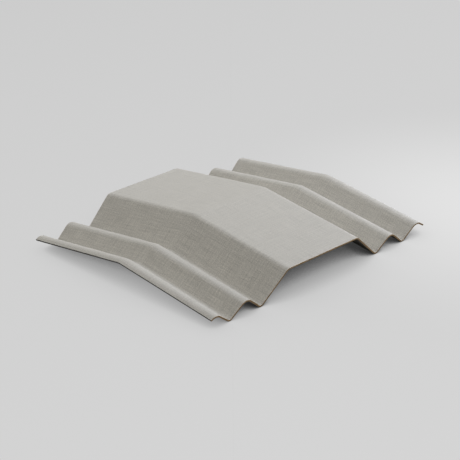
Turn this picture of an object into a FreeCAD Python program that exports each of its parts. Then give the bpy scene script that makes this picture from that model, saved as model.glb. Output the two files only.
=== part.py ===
"""Roof ridge cap: one moulded fibre-cement sheet, folded along the ridge line.

The section has a wide flat-topped crown with rounded waves on both sides. Its left edge is a lower
wave that tucks under the next cap, and its right edge is a full wave that covers the next cap.
The same section runs round the ridge fold and straight down both flaps, whose ends are cut square
to the slope. Millimetres, +X along the ridge, +Z up, origin on the floor at the middle of the cap.
"""

import FreeCAD, Part
import Sketcher
import math
import os
from FreeCAD import Vector

# Driving dimensions
SIZES = {
    "thickness": 6.0,  # of the sheet
    "crown_pitch": 600.0,  # valley to valley across the crown
    "crown_flat": 338.0,  # flat top of the crown, between its two bends
    "crown_height": 109.5,  # underside of the valleys to the top of the crown
    "crown_radius": 25.0,  # crown bends, on the underside
    "wave_pitch": 150.0,  # valley to valley across a wave
    "wave_height": 54.0,  # underside of the valleys to the top of a wave
    "crest_radius": 30.0,  # wave crests, on the underside
    "valley_radius": 11.0,  # valleys, on the upper side
    "underlap_offset": 69.0,  # last valley to the crest of the left edge wave
    "underlap_drop": 8.0,  # how much lower that crest lies, to pass under the next cap
    "underlap_angle": 26.0,  # slope of the left lip, degrees
    "underlap_lip": 8.5,  # straight length of the left lip
    "overlap_angle": 31.5,  # slope of the right lip, degrees
    "overlap_lip": 28.0,  # straight length of the right lip
    "roof_pitch": 7.4,  # slope of each flap, degrees
    "flap_run": 450.0,  # level distance from the ridge to the flap's lower edge, at the valleys
    "fold_radius": 30.0,  # of the ridge fold, on the underside of the valleys
}

LABEL = "ridge_cap"


def make_sheet(doc):
    """Spreadsheet with one named cell for each driving dimension."""
    sheet = doc.addObject("Spreadsheet::Sheet", "sizes")
    for row, (name, value) in enumerate(SIZES.items(), start=1):
        sheet.set(f"A{row}", name)
        sheet.set(f"B{row}", str(value))
        sheet.setAlias(f"B{row}", name)
    doc.recompute()
    return sheet


def cell(name):
    """Expression for a length or a plain number of the sheet."""
    return f"sizes.{name}"


def angle(name):
    """Expression for an angle of the sheet."""
    return f"(sizes.{name} * 1deg)"


# Heights in the section are measured from the axis of the ridge fold, so none is negative
VALLEY_BOTTOM = cell("fold_radius")
CREST_TOP = f"{VALLEY_BOTTOM} + {cell('wave_height')}"
CROWN_TOP = f"{VALLEY_BOTTOM} + {cell('crown_height')}"
UNDERLAP_TOP = f"{CREST_TOP} - {cell('underlap_drop')}"

# Distances in the section are measured from the middle of the crown, to either side
CROWN_BEND = f"{cell('crown_flat')} / 2"
INNER_VALLEY = f"{cell('crown_pitch')} / 2"
WAVE_CREST = f"{INNER_VALLEY} + {cell('wave_pitch')} / 2"
OUTER_VALLEY = f"{INNER_VALLEY} + {cell('wave_pitch')}"
UNDERLAP_CREST = f"{OUTER_VALLEY} + {cell('underlap_offset')}"
OVERLAP_CREST = f"{OUTER_VALLEY} + {cell('wave_pitch')} / 2"

LEFT, RIGHT = -1, 1

# Bends from the left edge to the right: name, side, distance, crest height or None for a valley, radius
BENDS = [
    ("underlap_crest", LEFT, UNDERLAP_CREST, UNDERLAP_TOP, "crest_radius"),
    ("left_outer_valley", LEFT, OUTER_VALLEY, None, "valley_radius"),
    ("left_crest", LEFT, WAVE_CREST, CREST_TOP, "crest_radius"),
    ("left_inner_valley", LEFT, INNER_VALLEY, None, "valley_radius"),
    ("crown_left", LEFT, CROWN_BEND, CROWN_TOP, "crown_radius"),
    ("crown_right", RIGHT, CROWN_BEND, CROWN_TOP, "crown_radius"),
    ("right_inner_valley", RIGHT, INNER_VALLEY, None, "valley_radius"),
    ("right_crest", RIGHT, WAVE_CREST, CREST_TOP, "crest_radius"),
    ("right_outer_valley", RIGHT, OUTER_VALLEY, None, "valley_radius"),
    ("overlap_crest", RIGHT, OVERLAP_CREST, CREST_TOP, "crest_radius"),
]

CREST_OUTER = f"({cell('crest_radius')} + {cell('thickness')})"


def reach(edge):
    """Expression for the level distance from an edge wave's crest to the end of its lip."""
    slope = angle(f"{edge}_angle")
    return f"{CREST_OUTER} * sin({slope}) + {cell(f'{edge}_lip')} * cos({slope})"


# The crown stands off centre by half the difference of the two sides, so that the origin is central
LEFT_SIDE = f"{UNDERLAP_CREST} + {reach('underlap')}"
RIGHT_SIDE = f"{OVERLAP_CREST} + {reach('overlap')}"
CROWN_OFFSET = f"({LEFT_SIDE} - ({RIGHT_SIDE})) / 2"

# The lower edges of the valleys touch the floor: this sets the height of the fold's axis
PITCH = angle("roof_pitch")
FOLD_AXIS_HEIGHT = f"{cell('flap_run')} * tan({PITCH}) - {cell('fold_radius')} / cos({PITCH})"

# A flap's straight length, from the end of the fold to the lower edge
FLAP_LENGTH = f"{cell('flap_run')} / cos({PITCH}) - {cell('fold_radius')} * tan({PITCH})"


def value_of(sheet, expression):
    """The number that an expression of the sheet's cells gives."""
    result = sheet.evalExpression(expression)
    return getattr(result, "Value", result)


def bend_places(sheet):
    """Centre and the two signed radii of each bend: positive over a crest, negative under a valley."""
    thickness = value_of(sheet, cell("thickness"))
    places = []
    for name, side, distance, top, radius in BENDS:
        inner = value_of(sheet, cell(radius))
        outer = inner + thickness
        x = side * value_of(sheet, distance)
        if top is None:
            centre = Vector(x, value_of(sheet, VALLEY_BOTTOM) + outer, 0)
            places.append((centre, {"upper": -inner, "lower": -outer}))
        else:
            centre = Vector(x, value_of(sheet, top) - outer, 0)
            places.append((centre, {"upper": outer, "lower": inner}))
    return places


def tangent_normal(centre_a, radius_a, centre_b, radius_b):
    """Upward normal of the straight that touches two bends, given their signed radii."""
    along = centre_b - centre_a
    gap = along.Length
    along = along / gap
    across = Vector(-along.y, along.x, 0)
    lean = (radius_a - radius_b) / gap
    return along * lean + across * math.sqrt(1 - lean * lean)


def draw_face(sketch, places, face, sheet):
    """One face of the sheet, upper or lower, from the left lip to the right one, as straights and arcs."""
    lip_left = math.radians(value_of(sheet, cell("underlap_angle")))
    lip_right = math.radians(value_of(sheet, cell("overlap_angle")))
    normals = [Vector(-math.sin(lip_left), math.cos(lip_left), 0)]
    for (centre_a, radii_a), (centre_b, radii_b) in zip(places[:-1], places[1:]):
        normals.append(tangent_normal(centre_a, radii_a[face], centre_b, radii_b[face]))
    normals.append(Vector(math.sin(lip_right), math.cos(lip_right), 0))

    arcs, joints = [], []
    for (centre, radii), before, after in zip(places, normals[:-1], normals[1:]):
        radius = radii[face]
        joints.append((centre + before * radius, centre + after * radius))
        circle = Part.Circle(centre, Vector(0, 0, 1), abs(radius))
        # an arc is drawn anticlockwise, so over a crest it starts at its right end
        ends = (after, before) if radius > 0 else (before * -1, after * -1)
        start, stop = (math.atan2(end.y, end.x) for end in ends)
        arcs.append(sketch.addGeometry(Part.ArcOfCircle(circle, start, stop)))

    out_left = Vector(-math.cos(lip_left), -math.sin(lip_left), 0)
    out_right = Vector(math.cos(lip_right), -math.sin(lip_right), 0)
    left_end = joints[0][0] + out_left * value_of(sheet, cell("underlap_lip"))
    right_end = joints[-1][1] + out_right * value_of(sheet, cell("overlap_lip"))
    starts = [left_end] + [joint[1] for joint in joints]
    stops = [joint[0] for joint in joints] + [right_end]
    straights = [sketch.addGeometry(Part.LineSegment(a, b)) for a, b in zip(starts, stops)]

    start_point, end_point = 1, 2
    for index, (arc, (_, radii)) in enumerate(zip(arcs, places)):
        left, right = (end_point, start_point) if radii[face] > 0 else (start_point, end_point)
        sketch.addConstraint(Sketcher.Constraint("Tangent", straights[index], end_point, arc, left))
        sketch.addConstraint(Sketcher.Constraint("Tangent", arc, right, straights[index + 1], start_point))
    return arcs, straights


def bind(sketch, constraint, name, expression):
    """Adds a dimension to the sketch and ties it to the sheet."""
    index = sketch.addConstraint(constraint)
    sketch.renameConstraint(index, name)
    sketch.setExpression(f"Constraints.{name}", expression)


def section_sketch(body, sheet):
    """Closed section of the sheet on the ridge plane, with the fold's axis as its horizontal axis."""
    ridge_plane = next(o for o in body.Origin.OriginFeatures if o.Role == "XZ_Plane")
    sketch = body.newObject("Sketcher::SketchObject", "section")
    sketch.AttachmentSupport = (ridge_plane, [""])
    sketch.MapMode = "FlatFace"
    sketch.setExpression("AttachmentOffset.Base.x", CROWN_OFFSET)
    sketch.setExpression("AttachmentOffset.Base.y", FOLD_AXIS_HEIGHT)

    places = bend_places(sheet)
    upper_arcs, upper_straights = draw_face(sketch, places, "upper", sheet)
    lower_arcs, lower_straights = draw_face(sketch, places, "lower", sheet)

    origin, centre_point = (-1, 1), 3
    for bend, (middle, radii), upper, lower in zip(BENDS, places, upper_arcs, lower_arcs):
        name, side, distance, top, radius = bend
        inner, outer = cell(radius), f"{cell(radius)} + {cell('thickness')}"
        height = f"{VALLEY_BOTTOM} + {outer}" if top is None else f"{top} - ({outer})"
        centre = (upper, centre_point)
        start, stop = (origin, centre) if side == RIGHT else (centre, origin)
        across = Sketcher.Constraint("DistanceX", *start, *stop, abs(middle.x))
        bind(sketch, across, f"{name}_across", distance)
        up = Sketcher.Constraint("DistanceY", *origin, *centre, middle.y)
        bind(sketch, up, f"{name}_height", height)
        upper_radius, lower_radius = (inner, outer) if top is None else (outer, inner)
        over = Sketcher.Constraint("Radius", upper, abs(radii["upper"]))
        bind(sketch, over, f"{name}_upper", upper_radius)
        under = Sketcher.Constraint("Radius", lower, abs(radii["lower"]))
        bind(sketch, under, f"{name}_lower", lower_radius)
        sketch.addConstraint(Sketcher.Constraint("Coincident", *centre, lower, centre_point))

    lips = [("underlap", 0, 1, angle("underlap_angle")), ("overlap", -1, 2, f"-{angle('overlap_angle')}")]
    for name, index, free_end, slope in lips:
        upper, lower = upper_straights[index], lower_straights[index]
        tilt = Sketcher.Constraint("Angle", upper, math.radians(value_of(sheet, slope)))
        bind(sketch, tilt, f"{name}_slope", slope)
        length = cell(f"{name}_lip")
        long = Sketcher.Constraint("Distance", upper, value_of(sheet, length))
        bind(sketch, long, f"{name}_length", length)
        ends = [sketch.getPoint(line, free_end) for line in (upper, lower)]
        edge = sketch.addGeometry(Part.LineSegment(*ends))
        sketch.addConstraint(Sketcher.Constraint("Coincident", edge, 1, upper, free_end))
        sketch.addConstraint(Sketcher.Constraint("Coincident", edge, 2, lower, free_end))
        sketch.addConstraint(Sketcher.Constraint("Perpendicular", edge, upper))
        sketch.addConstraint(Sketcher.Constraint("Parallel", upper, lower))
    return sketch


def ridge_fold(body, sketch):
    """The section turned about the fold's axis, as far as the flaps' slope to either side of the ridge."""
    fold = body.newObject("PartDesign::Revolution", "ridge_fold")
    fold.Profile = sketch
    fold.ReferenceAxis = (sketch, ["H_Axis"])
    fold.Midplane = True
    fold.setExpression("Angle", f"2 * {angle('roof_pitch')}")
    return fold


def flap(body, fold, sheet):
    """The section carried straight on from the fold's front end, down the slope."""
    pitch = math.radians(value_of(sheet, cell("roof_pitch")))
    downhill = Vector(0, -math.cos(pitch), -math.sin(pitch))
    faces = [f"Face{i}" for i, face in enumerate(fold.Shape.Faces, start=1) if is_end(face, downhill)]
    front = body.newObject("PartDesign::Pad", "front_flap")
    front.Profile = (fold, faces)
    front.setExpression("Length", FLAP_LENGTH)
    return front


def is_end(face, direction):
    """True for the flat face whose outward normal is that direction."""
    flat = isinstance(face.Surface, Part.Plane)
    return flat and (face.normalAt(0, 0) - direction).Length < 1e-6


def mirrored(body, feature):
    """The same flap on the other side of the ridge plane."""
    ridge_plane = next(o for o in body.Origin.OriginFeatures if o.Role == "XZ_Plane")
    back = body.newObject("PartDesign::Mirrored", "back_flap")
    back.Originals = [feature]
    back.MirrorPlane = (ridge_plane, [""])
    body.Tip = back
    return back


def build():
    """The document with the sheet and the one moulded piece."""
    doc = FreeCAD.newDocument("roof_ridge_cap")
    sheet = make_sheet(doc)
    body = doc.addObject("PartDesign::Body", "cap_body")
    body.Label = LABEL
    sketch = section_sketch(body, sheet)
    doc.recompute()
    fold = ridge_fold(body, sketch)
    doc.recompute()
    front = flap(body, fold, sheet)
    doc.recompute()
    mirrored(body, front)
    doc.recompute()
    return doc, body


def check(doc, body):
    """Stops if a feature failed or the cap isn't one closed solid that stands on the floor."""
    for item in doc.Objects:
        if {"Invalid", "Error"} & set(item.State):
            raise RuntimeError(f"{item.Name} failed: {item.State}")
    shape = body.Shape
    if shape.isNull() or not shape.isValid() or len(shape.Solids) != 1:
        raise RuntimeError("the cap isn't one valid solid")
    # the plain bounding box takes in more than the turned faces of the fold, so the exact one is measured
    box = shape.optimalBoundingBox(False, False)
    if max(abs(box.ZMin), abs(box.Center.x), abs(box.Center.y)) > 0.001:
        raise RuntimeError(f"the cap isn't central on the floor: {box}")
    print(f"{LABEL}: {box.XLength:.1f} x {box.YLength:.1f} x {box.ZLength:.1f} mm")
    print(f"volume {shape.Volume / 1e6:.3f} litres, x {box.XMin:.3f} to {box.XMax:.3f} mm")


def export(body):
    """One STEP file for the one piece."""
    os.makedirs("parts", exist_ok=True)
    body.Shape.exportStep(os.path.join("parts", f"{body.Label}.step"))


document, cap = build()
check(document, cap)
export(cap)
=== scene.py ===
# %% [markdown]
# A ridge cap covers the line where two roof slopes meet. This one is a single sheet of fibre cement, six
# millimetres thick, moulded into waves and folded along the ridge. The CAD model gives its exact size, and
# this lesson gives it its looks: the felt marks on its faces, its brown cut ends, and plain studio light.

import math

import bpy
import numpy as np
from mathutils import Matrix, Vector


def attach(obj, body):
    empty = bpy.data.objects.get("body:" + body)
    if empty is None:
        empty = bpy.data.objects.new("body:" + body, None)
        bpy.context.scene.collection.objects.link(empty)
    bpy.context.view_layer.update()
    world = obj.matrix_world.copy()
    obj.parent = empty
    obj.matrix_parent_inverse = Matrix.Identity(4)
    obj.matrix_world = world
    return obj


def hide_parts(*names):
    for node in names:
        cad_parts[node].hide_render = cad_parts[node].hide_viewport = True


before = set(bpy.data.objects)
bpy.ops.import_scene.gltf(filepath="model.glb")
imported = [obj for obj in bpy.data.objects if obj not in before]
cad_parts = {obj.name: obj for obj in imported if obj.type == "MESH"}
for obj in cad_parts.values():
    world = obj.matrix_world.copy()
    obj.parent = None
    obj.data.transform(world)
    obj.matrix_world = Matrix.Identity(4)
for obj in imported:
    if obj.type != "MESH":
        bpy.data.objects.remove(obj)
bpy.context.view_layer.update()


# %% [markdown]
# The CAD node is a mesh of long thin faces, right for collision but too coarse to carry surface detail. It
# could be subdivided, but the result would be uneven, so the sheet is drawn again here as an even grid. The
# sizes below are the drawing's, in metres. Heights are measured from the underside of the valleys, and
# distances from the middle of the wide crown.

# %% Sizes of the sheet
THICKNESS = 0.006
CROWN_PITCH = 0.600
CROWN_FLAT = 0.338
CROWN_HEIGHT = 0.1095
CROWN_RADIUS = 0.025
WAVE_PITCH = 0.150
WAVE_HEIGHT = 0.054
CREST_RADIUS = 0.030
VALLEY_RADIUS = 0.011
UNDERLAP_OFFSET = 0.069
UNDERLAP_DROP = 0.008
UNDERLAP_ANGLE = math.radians(26.0)
UNDERLAP_LIP = 0.0085
OVERLAP_ANGLE = math.radians(31.5)
OVERLAP_LIP = 0.028
ROOF_PITCH = math.radians(7.4)
FLAP_RUN = 0.450
FOLD_RADIUS = 0.030
print("slope of each flap:", round(math.degrees(ROOF_PITCH), 2), "degrees")

# %% [markdown]
# The section is a row of round bends joined by straights. A smooth curve through a few points would look
# close, but its bends wouldn't be round, so each bend is a circle: over a crest the sheet passes above it, in
# a valley below it, and a signed radius tells the two apart. Each circle is that of the sheet's middle layer,
# half a thickness from either face.

# %% Bends of the section
INNER_VALLEY = CROWN_PITCH / 2
WAVE_CREST = INNER_VALLEY + WAVE_PITCH / 2
OUTER_VALLEY = INNER_VALLEY + WAVE_PITCH
UNDERLAP_CREST = OUTER_VALLEY + UNDERLAP_OFFSET
OVERLAP_CREST = OUTER_VALLEY + WAVE_PITCH / 2


def crest(distance, top, radius=CREST_RADIUS):
    """Bend under a crest whose upper face reaches that height."""
    return distance, top - THICKNESS - radius, radius + THICKNESS / 2


def valley(distance):
    """Bend over a valley whose lower face is at height zero."""
    return distance, VALLEY_RADIUS + THICKNESS, -(VALLEY_RADIUS + THICKNESS / 2)


bends = [
    crest(-UNDERLAP_CREST, WAVE_HEIGHT - UNDERLAP_DROP),
    valley(-OUTER_VALLEY),
    crest(-WAVE_CREST, WAVE_HEIGHT),
    valley(-INNER_VALLEY),
    crest(-CROWN_FLAT / 2, CROWN_HEIGHT, CROWN_RADIUS),
    crest(CROWN_FLAT / 2, CROWN_HEIGHT, CROWN_RADIUS),
    valley(INNER_VALLEY),
    crest(WAVE_CREST, WAVE_HEIGHT),
    valley(OUTER_VALLEY),
    crest(OVERLAP_CREST, WAVE_HEIGHT),
]
print(len(bends), "bends from edge to edge")

# %% [markdown]
# A straight that touches two circles has the same normal at both ends, and its angle follows from their
# distance and radii. Each bend then runs from one straight's normal to the next. The walk along the whole
# line also adds up the developed length, as if the sheet were rolled flat, and that length places the felt
# marks later.

# %% Middle line of the section
GRID_STEP = 0.0070
BEND_STEP = math.radians(5.5)
STRAIGHT_UP = math.pi / 2


def shared_normal(bend_a, bend_b):
    """Angle of the normal of the straight between two bends."""
    along_x, along_z = bend_b[0] - bend_a[0], bend_b[1] - bend_a[1]
    lean = (bend_a[2] - bend_b[2]) / math.hypot(along_x, along_z)
    return math.atan2(along_z, along_x) + math.acos(lean)


def steps(start, stop, size):
    """Evenly spaced values from start to stop, no further apart than size."""
    return np.linspace(start, stop, math.ceil(abs(stop - start) / size) + 1)


turning = [STRAIGHT_UP + UNDERLAP_ANGLE]
turning += [shared_normal(a, b) for a, b in zip(bends[:-1], bends[1:])]
turning += [STRAIGHT_UP - OVERLAP_ANGLE]
line = []
for (centre_x, centre_z, radius), start, stop in zip(bends, turning[:-1], turning[1:]):
    for angle in steps(start, stop, BEND_STEP):
        line.append((centre_x + radius * math.cos(angle), centre_z + radius * math.sin(angle), angle))


def lip(bend_end, length):
    """Free end of the straight lip that goes on from a bend's end."""
    x, z, angle = bend_end
    return x + length * math.sin(angle), z - length * math.cos(angle), angle


line = np.array([lip(line[0], -UNDERLAP_LIP), *line, lip(line[-1], OVERLAP_LIP)])
line_lengths = np.concatenate([[0.0], np.cumsum(np.hypot(*np.diff(line[:, :2], axis=0).T))])
SHEET_WIDTH = line_lengths[-1]
print("developed width:", round(SHEET_WIDTH, 4), "from", len(line), "points")

# %% [markdown]
# Down the slope the sheet is simple: it goes round the ridge fold and then straight on. A Simple Deform
# modifier could bend a flat sheet, but it would change lengths. Here a point's place depends on its height in
# the section, because the crown goes round a wider arc than the valleys. One function places any point of the
# sheet from how far along the section it is, how far down the slope, and how deep.

# %% Place of a point on the sheet
CREST_OUTER = CREST_RADIUS + THICKNESS
left_reach = CREST_OUTER * math.sin(UNDERLAP_ANGLE) + UNDERLAP_LIP * math.cos(UNDERLAP_ANGLE)
right_reach = CREST_OUTER * math.sin(OVERLAP_ANGLE) + OVERLAP_LIP * math.cos(OVERLAP_ANGLE)
CROWN_X = (UNDERLAP_CREST + left_reach - OVERLAP_CREST - right_reach) / 2
FOLD_HEIGHT = FLAP_RUN * math.tan(ROOF_PITCH) - FOLD_RADIUS / math.cos(ROOF_PITCH)
FLAP_LENGTH = FLAP_RUN / math.cos(ROOF_PITCH) - FOLD_RADIUS * math.tan(ROOF_PITCH)


def place(along, depth, turn, run):
    """Points of the sheet in the frame, and the same points on the developed sheet.

    depth is measured from the middle layer, turn is the angle round the ridge fold, and run is the distance
    beyond the fold, negative on the front flap."""
    x, height, angle = (np.interp(along, line_lengths, line[:, part]) for part in range(3))
    radius = FOLD_RADIUS + height + depth * np.sin(angle)
    points = [
        CROWN_X + x + depth * np.cos(angle),
        radius * np.sin(turn) + run * np.cos(turn),
        FOLD_HEIGHT + radius * np.cos(turn) - np.abs(run * np.sin(turn)),
    ]
    flat = [along, radius * turn + run, depth]
    return (np.stack(np.broadcast_arrays(*parts), axis=-1) for parts in (points, flat))


ridge_top, _ = place(np.array(SHEET_WIDTH / 2), THICKNESS / 2, 0.0, 0.0)
print("a point at the top of the ridge:", ridge_top.round(4))

# %% [markdown]
# A moulded sheet is never quite even: its faces have soft hollows a hand's breadth across and a few tenths of
# a millimetre deep. They could be bump in the material, but they are real shape, so they go into the mesh.
# Sine waves in random directions add up to smooth hollows, alike on each run. They only go inwards, so the
# sheet stays in its CAD box.

# %% Soft hollows of the moulding
HOLLOW_DEPTH = 0.0004
SHALLOWEST = 0.00006
HOLLOW_WAVELENGTHS = (0.07, 0.11, 0.17, 0.26)
WAVES_EACH = 5
RIPPLE_SPREAD = 4
FADE_WIDTH = 0.015
chance = np.random.default_rng(11)
ripples = [
    (size, *chance.uniform(0, 2 * math.pi, 2))
    for size in HOLLOW_WAVELENGTHS
    for _ in range(WAVES_EACH)
]


def hollows(flat):
    """Depth of the hollows at developed places, fading out towards the sheet's edges."""
    total = np.zeros(flat.shape[:-1])
    for wavelength, direction, phase in ripples:
        reach = flat[..., 0] * math.cos(direction) + flat[..., 1] * math.sin(direction)
        total += np.sin(2 * math.pi * reach / wavelength + phase)
    level = np.clip(0.5 + total / (RIPPLE_SPREAD * math.sqrt(len(ripples))), 0, 1)
    from_side = np.minimum(flat[..., 0], SHEET_WIDTH - flat[..., 0])
    from_end = FLAP_LENGTH - np.abs(flat[..., 1])
    fade = np.clip(np.minimum(from_side, from_end) / FADE_WIDTH, 0, 1)
    return (SHALLOWEST + HOLLOW_DEPTH * level) * fade


deepest = (SHALLOWEST + HOLLOW_DEPTH) * 1000
print(len(ripples), "ripples make hollows up to", round(deepest, 2), "mm deep")

# %% [markdown]
# The sheet could be a plane with a Solidify modifier, but its edges would be knife sharp. Here one closed
# loop goes round the section, over the upper face and back under the lower one, with round edges on both
# sides. Rows of that loop down the slope make the skin, and at each cut end a few rows draw in to round the
# sharp corner.

# %% Loop round the section
EDGE_ROUND = 0.0013
EDGE_STEPS = 4
columns = [EDGE_ROUND, EDGE_ROUND * 2]
for start, stop in zip(line_lengths[:-1], line_lengths[1:]):
    columns += list(steps(start, stop, GRID_STEP)[1:])
columns = [value for value in columns if EDGE_ROUND <= value <= SHEET_WIDTH - EDGE_ROUND * 2]
columns = np.array(columns + [SHEET_WIDTH - EDGE_ROUND])


def section_loop(inset):
    """Along and depth of each point of the loop, drawn in by inset all round."""
    half = THICKNESS / 2 - inset
    radius = EDGE_ROUND - inset
    across = np.clip(columns, EDGE_ROUND, SHEET_WIDTH - EDGE_ROUND)
    quarter = np.linspace(0, math.pi / 2, EDGE_STEPS + 1)[1:]
    out = radius * np.sin(quarter)
    down = half - radius + radius * np.cos(quarter)
    right_along = SHEET_WIDTH - EDGE_ROUND + out
    left_along = EDGE_ROUND - out
    top = np.full(len(across), half)
    over = [across, right_along, right_along[::-1]]
    under = [across[::-1], left_along, left_along[::-1]]
    along = np.concatenate(over + under)
    depth = np.concatenate([top, down, -down[::-1], -top, -down, down[::-1]])
    return along, depth


loop_size = len(section_loop(0.0)[0])
print("loop of", loop_size, "points,", len(columns), "on each face")

# %% [markdown]
# Rows are set close together on the ridge fold and by the cut ends, and about a finger's width apart between.
# The hollows push each face inwards along its depth. A Displace modifier could do that from a texture, but
# here each row is placed once, with its hollows in it.

# %% Skin of the sheet
ARRIS = 0.0007
ARRIS_STEPS = 3
FOLD_STEPS = 15
flap = steps(0, FLAP_LENGTH - 2 * ARRIS, GRID_STEP)[1:]
arris = np.linspace(0, math.pi / 2, ARRIS_STEPS + 1)
end_runs = FLAP_LENGTH - ARRIS + ARRIS * np.sin(arris)
end_insets = ARRIS * (1 - np.cos(arris))
half_runs = np.concatenate([flap, end_runs])
half_insets = np.concatenate([np.zeros(len(flap)), end_insets])
fold = np.linspace(-ROOF_PITCH, ROOF_PITCH, FOLD_STEPS)
slope = np.full(len(half_runs), ROOF_PITCH)
row_turns = np.concatenate([-slope, fold, slope])
row_runs = np.concatenate([-half_runs[::-1], np.zeros(FOLD_STEPS), half_runs])
row_insets = np.concatenate([half_insets[::-1], np.zeros(FOLD_STEPS), half_insets])

point_rows, flat_rows = [], []
for turn, run, inset in zip(row_turns, row_runs, row_insets):
    along, depth = section_loop(inset)
    _, flat = place(along, depth, turn, run)
    depth = depth - np.sign(depth) * hollows(flat)
    points, flat = place(along, depth, turn, run)
    point_rows.append(points)
    flat_rows.append(flat)
print(len(point_rows), "rows from the front end to the back end")

# %% [markdown]
# Every face of the skin is a quad between two rows. Faces are kept in four groups by where they lie, so that
# each can have its own finish: the upper face, the lower face, the two moulded side edges, and the cut ends.
# They could be chosen later by their normals, but here their place in the loop already tells.

# %% Faces and their finishes
UPPER, LOWER, SIDE, CUT = range(4)
face_count = len(columns)
row_total = len(point_rows)
lower_start = face_count + 2 * EDGE_STEPS
lower_end = lower_start + face_count - 1


def loop_finish(index):
    """Finish of the faces that start at that point of the loop."""
    if index < face_count - 1:
        return UPPER
    if lower_start <= index < lower_end:
        return LOWER
    return SIDE


faces, finishes = [], []
for row in range(row_total - 1):
    at_end = row < ARRIS_STEPS or row >= row_total - 1 - ARRIS_STEPS
    for index in range(loop_size):
        following = (index + 1) % loop_size
        near, far = row * loop_size, (row + 1) * loop_size
        faces.append((near + index, near + following, far + following, far + index))
        finishes.append(CUT if at_end else loop_finish(index))
print(len(faces), "faces round the sheet")

# %% [markdown]
# The skin is still open at the flaps' lower ends, where the real sheet was cut across. One large face could
# close each, but it would be long, thin and full of corners. So narrow quads go across the thickness, from
# each point of the upper face to the one under it, and one face at each side closes the round edge.

# %% Faces of the cut ends
for base, flip in ((0, False), ((row_total - 1) * loop_size, True)):
    caps = [(i, lower_end - i, lower_end - i - 1, i + 1) for i in range(face_count - 1)]
    caps.append(tuple(range(lower_end - face_count + 1, face_count - 2, -1)))
    caps.append((0, *range(loop_size - 1, lower_end - 1, -1)))
    for cap in caps:
        corners = tuple(base + corner for corner in cap)
        faces.append(corners[::-1] if flip else corners)
        finishes.append(CUT)
print(len(faces), "faces in all")

# %% [markdown]
# The points and faces become one mesh object. The developed place of each point is stored on the mesh as an
# attribute, which a material can read. A UV map could hold it too, but an attribute needs no unwrapping:
# marks that follow the sheet bend with every wave, with no stretching and no seam. The object rides on the
# CAD's only body and stands for its only node.

# %% Mesh object
mesh = bpy.data.meshes.new("ridge_cap_sheet")
mesh.from_pydata(np.concatenate(point_rows), [], faces)
mesh.polygons.foreach_set("material_index", finishes)
mesh.polygons.foreach_set("use_smooth", [True] * len(faces))
developed = mesh.attributes.new("developed", "FLOAT_VECTOR", "POINT")
developed.data.foreach_set("vector", np.concatenate(flat_rows).ravel())
# How steep the section is at each point; it makes the felt marks stronger on the flanks, as painted shade of
# their relief.
steepness = np.abs(np.cos(np.interp(section_loop(0.0)[0], line_lengths, line[:, 2])))
steep = mesh.attributes.new("steep", "FLOAT", "POINT")
steep.data.foreach_set("value", np.tile(steepness, row_total))
mesh.update()
sheet = bpy.data.objects.new("ridge_cap_sheet", mesh)
bpy.context.scene.collection.objects.link(sheet)
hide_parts("ridge_cap")
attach(sheet, "root")
mesh.calc_loop_triangles()
print(len(mesh.vertices), "points,", len(mesh.loop_triangles), "triangles")

# %% [markdown]
# Materials are trees of nodes. They could be wired one line at a time, but a few small helpers keep the next
# cells short. One adds a node and sets its inputs, whether with a number or with another node's output. The
# others do sums, move a value to another range, draw noise over the developed sheet and start a material.


# %% Helpers for materials
def add(tree, kind, inputs=None, **properties):
    """A node of that kind, with its properties set and its inputs set or linked."""
    made = tree.nodes.new(kind)
    for name, value in properties.items():
        setattr(made, name, value)
    for name, value in (inputs or {}).items():
        if isinstance(value, bpy.types.NodeSocket):
            tree.links.new(value, made.inputs[name])
        else:
            made.inputs[name].default_value = value
    return made


def sum_of(tree, operation, first, second=0.0):
    """Output of a Math node with two inputs."""
    return add(tree, "ShaderNodeMath", {0: first, 1: second}, operation=operation).outputs[0]


def ranged(tree, value, low, high, to_low, to_high):
    """The value, moved from one range to another and held inside it."""
    inputs = {"Value": value, "From Min": low, "From Max": high, "To Min": to_low, "To Max": to_high}
    return add(tree, "ShaderNodeMapRange", inputs).outputs["Result"]


def stretched_noise(tree, scale, detail=2.0, roughness=0.5):
    """Noise over the developed sheet, with its own grain size in metres along, down and deep."""
    spread = add(tree, "ShaderNodeAttribute", attribute_name="developed").outputs["Vector"]
    sized = add(tree, "ShaderNodeVectorMath", {0: spread, 1: scale}, operation="DIVIDE").outputs[0]
    inputs = {"Vector": sized, "Scale": 1.0, "Detail": detail, "Roughness": roughness}
    return add(tree, "ShaderNodeTexNoise", inputs).outputs["Fac"]


def new_material(name):
    """An empty material with its Principled shader: the material, its tree and the shader."""
    material = bpy.data.materials.new(name)
    material.use_nodes = True
    return material, material.node_tree, material.node_tree.nodes["Principled BSDF"]


print("helpers ready")

# %% [markdown]
# Fibre cement is made on felts, and their threads leave a linen-like mark across and down the whole sheet. An
# image of cloth would repeat and blur, but noise drawn out thin in each direction gives long threads with no
# repeat, and fine even noise gives the grain between them.

# %% Felt marks
GRAIN_SIZE = 0.0042
THREAD_WIDTH = 0.0040
THREAD_LENGTH = 0.100
DEEP = 1.0


def felt_marks(tree):
    """Strength of grain and threads together, around zero."""
    grain = stretched_noise(tree, (GRAIN_SIZE, GRAIN_SIZE, DEEP))
    down = stretched_noise(tree, (THREAD_WIDTH, THREAD_LENGTH, DEEP), detail=1.0)
    across = stretched_noise(tree, (THREAD_LENGTH, THREAD_WIDTH, DEEP), detail=1.0)
    threads = sum_of(tree, "MULTIPLY", sum_of(tree, "ADD", down, across), 0.5)
    return sum_of(tree, "SUBTRACT", sum_of(tree, "ADD", grain, threads), 1.0)


print("grain of", GRAIN_SIZE * 1000, "mm and threads", THREAD_LENGTH * 1000, "mm long")
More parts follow.
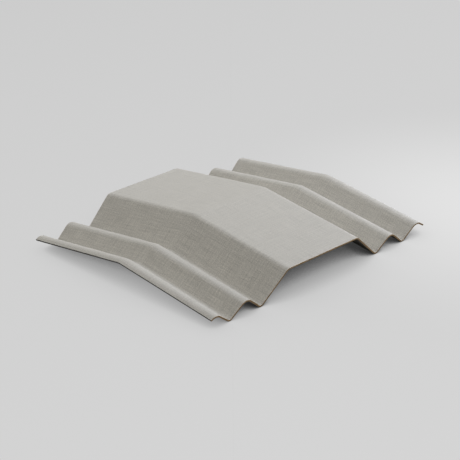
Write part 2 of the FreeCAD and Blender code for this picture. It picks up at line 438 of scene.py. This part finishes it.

# %% [markdown]
# On the real cap the marks show as lighter and darker specks of one warm grey. They are made stronger on the
# steep flanks than on the flat tops, which is painted shade of their relief. They could be painted by hand,
# but here the same noise mixes two shades of the colour and also raises a fine bump, so that light catches
# what the eye sees. The lower face and the side edges are nearly black in the photo. Much of that is shade,
# so they get darker greys, which are painted shade, but not black.

# %% Cement faces
MARKS_ON_FLAT = 0.45
STEEPEST = 0.8
MARK_CONTRAST = 1.75
DARK_SHADE = 0.7
LIGHT_SHADE = 1.3
FACE_RELIEF = 0.0004
EDGE_RELIEF = 0.0002
CEMENT_ROUGHNESS = 0.65


def cement_face(name, colour, relief, shine=0.5):
    """Fibre cement whose felt marks lighten and darken one colour."""
    material, tree, shader = new_material(name)
    marks = felt_marks(tree)
    # The real marks are strengthened on steep flanks: the extra is painted shade of their relief.
    steep_share = add(tree, "ShaderNodeAttribute", attribute_name="steep").outputs["Fac"]
    strength = ranged(tree, steep_share, 0.0, STEEPEST, MARKS_ON_FLAT, 1.0)
    shade = sum_of(tree, "MULTIPLY", sum_of(tree, "MULTIPLY", marks, MARK_CONTRAST), strength)
    colours = add(tree, "ShaderNodeMix", {"Factor": sum_of(tree, "ADD", shade, 0.5)}, data_type="RGBA")
    colours.inputs["A"].default_value = (*(DARK_SHADE * part for part in colour), 1)
    colours.inputs["B"].default_value = (*(LIGHT_SHADE * part for part in colour), 1)
    tree.links.new(colours.outputs["Result"], shader.inputs["Base Color"])
    bump = add(tree, "ShaderNodeBump", {"Height": marks, "Strength": 1.0, "Distance": relief})
    tree.links.new(bump.outputs["Normal"], shader.inputs["Normal"])
    shader.inputs["Roughness"].default_value = CEMENT_ROUGHNESS
    shader.inputs["Specular IOR Level"].default_value = shine
    return material


upper_face = cement_face("fibre_cement_upper", (0.50, 0.4725, 0.415), FACE_RELIEF)
# The lower face and the side edges are darker greys than the upper face: that darkening is painted shade.
lower_face = cement_face("fibre_cement_lower_painted_shade", (0.18, 0.17, 0.149), FACE_RELIEF, shine=0.02)
side_edge = cement_face("fibre_cement_side_edge_painted_shade", (0.085, 0.08, 0.072), EDGE_RELIEF, shine=0.2)
print("three cement finishes")

# %% [markdown]
# Where the sheet was cut across, its inside shows: brown, with the thin layers that the sheet was built up
# from. Stripes from a Wave Texture would be too even. Noise squeezed through the thickness and drawn out
# along it gives uneven layers, and a finer noise adds the torn grains of the cut.

# %% Cut ends
LAYER_SIZE = (0.03, 0.03, 0.0008)
CUT_GRAIN_SIZE = (0.003, 0.003, 0.002)
LAYER_SHARE = 0.6
GRAIN_SHARE = 0.4
DARKEST_NOISE = 0.3
LIGHTEST_NOISE = 0.7
CUT_RELIEF = 0.0006
CUT_ROUGHNESS = 0.9
CUT_SHINE = 0.2


def cut_end(name, dark, light):
    """Brown cut edge, layered through its thickness."""
    material, tree, shader = new_material(name)
    layers = sum_of(tree, "MULTIPLY", stretched_noise(tree, LAYER_SIZE, detail=3.0), LAYER_SHARE)
    grains = sum_of(tree, "MULTIPLY", stretched_noise(tree, CUT_GRAIN_SIZE, detail=2.0), GRAIN_SHARE)
    mixed = sum_of(tree, "ADD", layers, grains)
    shade = ranged(tree, mixed, DARKEST_NOISE, LIGHTEST_NOISE, 0.0, 1.0)
    colours = add(tree, "ShaderNodeMix", {"Factor": shade}, data_type="RGBA")
    colours.inputs["A"].default_value = dark
    colours.inputs["B"].default_value = light
    tree.links.new(colours.outputs["Result"], shader.inputs["Base Color"])
    bump = add(tree, "ShaderNodeBump", {"Height": mixed, "Strength": 1.0, "Distance": CUT_RELIEF})
    tree.links.new(bump.outputs["Normal"], shader.inputs["Normal"])
    shader.inputs["Roughness"].default_value = CUT_ROUGHNESS
    shader.inputs["Specular IOR Level"].default_value = CUT_SHINE
    return material


cut_face = cut_end("fibre_cement_cut_end", (0.46, 0.31, 0.17, 1), (0.74, 0.53, 0.32, 1))
for finish in (upper_face, lower_face, side_edge, cut_face):
    mesh.materials.append(finish)
print([material.name for material in mesh.materials])

# %% [markdown]
# The cap lies on a wide pale floor, which is the whole background of the photo. A curved backdrop is usual in
# a studio, but a floor this wide has no edge in view. Rays that bounce about the scene meet it as plain grey,
# which sends a little light back up into the cap.

# %% Floor
FLOOR_SIZE = 200.0
FLOOR_GREY = 0.31
bpy.ops.mesh.primitive_plane_add(size=FLOOR_SIZE)
floor = bpy.context.object
floor.name = "studio_floor"
floor_material, floor_tree, floor_shader = new_material("pale_floor")
floor_shader.inputs["Base Color"].default_value = (FLOOR_GREY, FLOOR_GREY, FLOOR_GREY, 1)
floor_shader.inputs["Roughness"].default_value = 1.0
floor_shader.inputs["Specular IOR Level"].default_value = 0.0
floor.data.materials.append(floor_material)
print("floor", FLOOR_SIZE, "m wide")

# %% [markdown]
# The shadow is soft and lies close to the cap, as under an open sky. Lamps could cast it, but then it would
# change with every lamp that shapes the cap. So the Ambient Occlusion node measures how much of the sky each
# spot still sees, about a direction that leans to the back left, and a colour ramp turns that into light.
# Spots under the crown see little and go dark.

# %% Shadow on the floor
SHELTER_REACH = 1.0
SHELTER_SAMPLES = 32
SKY_LEAN = (-0.10, 0.30, 0.95)
SHADOW_STOPS = ((0.028, 0.0), (0.17, 0.535), (0.35, 0.695), (0.60, 0.914), (1.0, 1.0))


def openness(tree, inputs):
    """How much of the sky a spot of the floor still sees, from 0 to 1."""
    return add(tree, "ShaderNodeAmbientOcclusion", inputs, samples=SHELTER_SAMPLES).outputs["AO"]


sky = add(floor_tree, "ShaderNodeCombineXYZ", dict(enumerate(SKY_LEAN))).outputs[0]
sky_seen = openness(floor_tree, {"Distance": SHELTER_REACH, "Normal": sky})
shadow = add(floor_tree, "ShaderNodeValToRGB", {"Fac": sky_seen})
for share, _ in SHADOW_STOPS[2:]:
    shadow.color_ramp.elements.new(share)
for stop, (share, level) in zip(shadow.color_ramp.elements, SHADOW_STOPS):
    stop.position = share
    stop.color = (level, level, level, 1)
print("shadow ramp of", len(shadow.color_ramp.elements), "stops")

# %% [markdown]
# Where the sheet comes down to the floor inside the crown and the waves to its right, a narrow shadow is
# darker still. A darker ramp would deepen the whole shadow, so a second Ambient Occlusion node, with a reach
# of a few centimetres, finds those places alone. The sheet's left edge stands open to the light and has no
# such shadow, so it fades out beyond the crown's left foot.

# %% Contact shadow
CONTACT_REACH = 0.055
CONTACT_BLACK = 0.05
CONTACT_CLEAR = 0.62
CONTACT_EDGE = CROWN_X - INNER_VALLEY
CONTACT_FADE = 0.05
close_by = openness(floor_tree, {"Distance": CONTACT_REACH})
spot = add(floor_tree, "ShaderNodeNewGeometry").outputs["Position"]
spot_axes = add(floor_tree, "ShaderNodeSeparateXYZ", {0: spot}).outputs
open_side = ranged(floor_tree, spot_axes["X"], CONTACT_EDGE - CONTACT_FADE, CONTACT_EDGE, 1.0, 0.0)
near_light = ranged(floor_tree, close_by, CONTACT_BLACK, CONTACT_CLEAR, 0.0, 1.0)
contact = sum_of(floor_tree, "MAXIMUM", near_light, open_side)
print("contact shadow within", CONTACT_REACH, "m of the sheet")

# %% [markdown]
# What the camera sees of the floor is a glow times those shadows. More light on the floor would also light
# the cap, and a glow doesn't. The photo's floor is nearly even, with a brighter pool to the right of the cap
# and a slow fade to the back.

# %% Glow of the floor
FRONT_GLOW = 0.667
BACK_GLOW = 0.583
FADE_FROM = -2.0
FADE_TO = 5.0
POOL_PLACE = (0.94, -0.46, 0.0)
POOL_REACH = 1.15
POOL_GLOW = 0.123
away = add(floor_tree, "ShaderNodeVectorMath", {0: spot, 1: POOL_PLACE}, operation="DISTANCE")
pool_range = {"Value": away.outputs["Value"], "From Max": POOL_REACH, "To Min": POOL_GLOW, "To Max": 0.0}
pool = add(floor_tree, "ShaderNodeMapRange", pool_range, interpolation_type="SMOOTHSTEP").outputs["Result"]
even = ranged(floor_tree, spot_axes["Y"], FADE_FROM, FADE_TO, FRONT_GLOW, BACK_GLOW)
strength = sum_of(floor_tree, "MULTIPLY", sum_of(floor_tree, "ADD", even, pool), contact)
glow = add(floor_tree, "ShaderNodeEmission", {"Color": shadow.outputs["Color"], "Strength": strength})
print("floor glow", FRONT_GLOW, "to", BACK_GLOW, "and a pool of", POOL_GLOW, "more")

# %% [markdown]
# Rays from the camera take the glow, and so do those that mirror the floor in the cap or look through glass.
# All others meet the plain grey floor. Two floors on separate layers could do this, but the Light Path node
# tells the rays apart in one material.

# %% Rays that see the glow
rays = add(floor_tree, "ShaderNodeLightPath").outputs
seen = sum_of(floor_tree, "MAXIMUM", rays["Is Camera Ray"], rays["Is Glossy Ray"])
seen = sum_of(floor_tree, "MAXIMUM", seen, rays["Is Transmission Ray"])
both = add(floor_tree, "ShaderNodeMixShader", {0: seen, 1: floor_shader.outputs[0], 2: glow.outputs[0]})
floor_tree.links.new(both.outputs[0], floor_tree.nodes["Material Output"].inputs["Surface"])
print("floor material of", len(floor_tree.nodes), "nodes")

# %% [markdown]
# The light is soft. A Sun lamp would draw hard edges, so there are two wide area lamps. One stands overhead
# and a little to the back, so that tops are bright and flanks are in shade. The other stands to the right at
# half height, and lights the flanks that face it. Both are a little cool, and the weak light from all round
# is a little warm.

# %% Light
WORLD_COLOUR = (1.0, 0.89, 0.61, 1)
WORLD_STRENGTH = 0.144
SOFTBOX_SIZE = 3.5
scene = bpy.context.scene
world = bpy.data.worlds.new("studio_light")
world.use_nodes = True
world_light = world.node_tree.nodes["Background"].inputs
world_light["Color"].default_value = WORLD_COLOUR
world_light["Strength"].default_value = WORLD_STRENGTH
scene.world = world


def softbox(name, place_at, colour, power):
    """Square area lamp that looks at the cap."""
    lamp = bpy.data.lights.new(name, "AREA")
    lamp.shape = "SQUARE"
    lamp.size = SOFTBOX_SIZE
    lamp.color = colour
    lamp.energy = power
    holder = bpy.data.objects.new(name, lamp)
    holder.location = place_at
    holder.rotation_euler = (-Vector(place_at)).to_track_quat("-Z", "Y").to_euler()
    scene.collection.objects.link(holder)


softbox("overhead_softbox", (0.0, 1.55, 5.8), (0.873, 0.913, 1.0), 231)
softbox("right_softbox", (5.2, 0.0, 3.0), (0.823, 0.874, 1.0), 285)

# %% [markdown]
# The camera stands in front and to the left, and looks down on the cap through a long lens. It could be
# placed by eye, but its angles and distance were found by laying the drawing's outline over the photo until
# they agreed to a third of a pixel.

# %% Camera
AZIMUTH = math.radians(-45.14)
ELEVATION = math.radians(24.29)
DISTANCE = 6.1776
AIM = Vector((-0.0038, 0.0055, 0.0430))
LENS = 131.40
SENSOR = 36.0
back = Vector((
    math.sin(AZIMUTH) * math.cos(ELEVATION),
    -math.cos(AZIMUTH) * math.cos(ELEVATION),
    math.sin(ELEVATION),
))
camera_data = bpy.data.cameras.new("photo_camera")
camera_data.lens = LENS
camera_data.sensor_width = SENSOR
camera = bpy.data.objects.new("photo_camera", camera_data)
camera.location = AIM + back * DISTANCE
camera.rotation_euler = (-back).to_track_quat("-Z", "Y").to_euler()
scene.collection.objects.link(camera)
scene.camera = camera
scene.view_settings.view_transform = "Standard"
print("camera at", [round(value, 3) for value in camera.location])
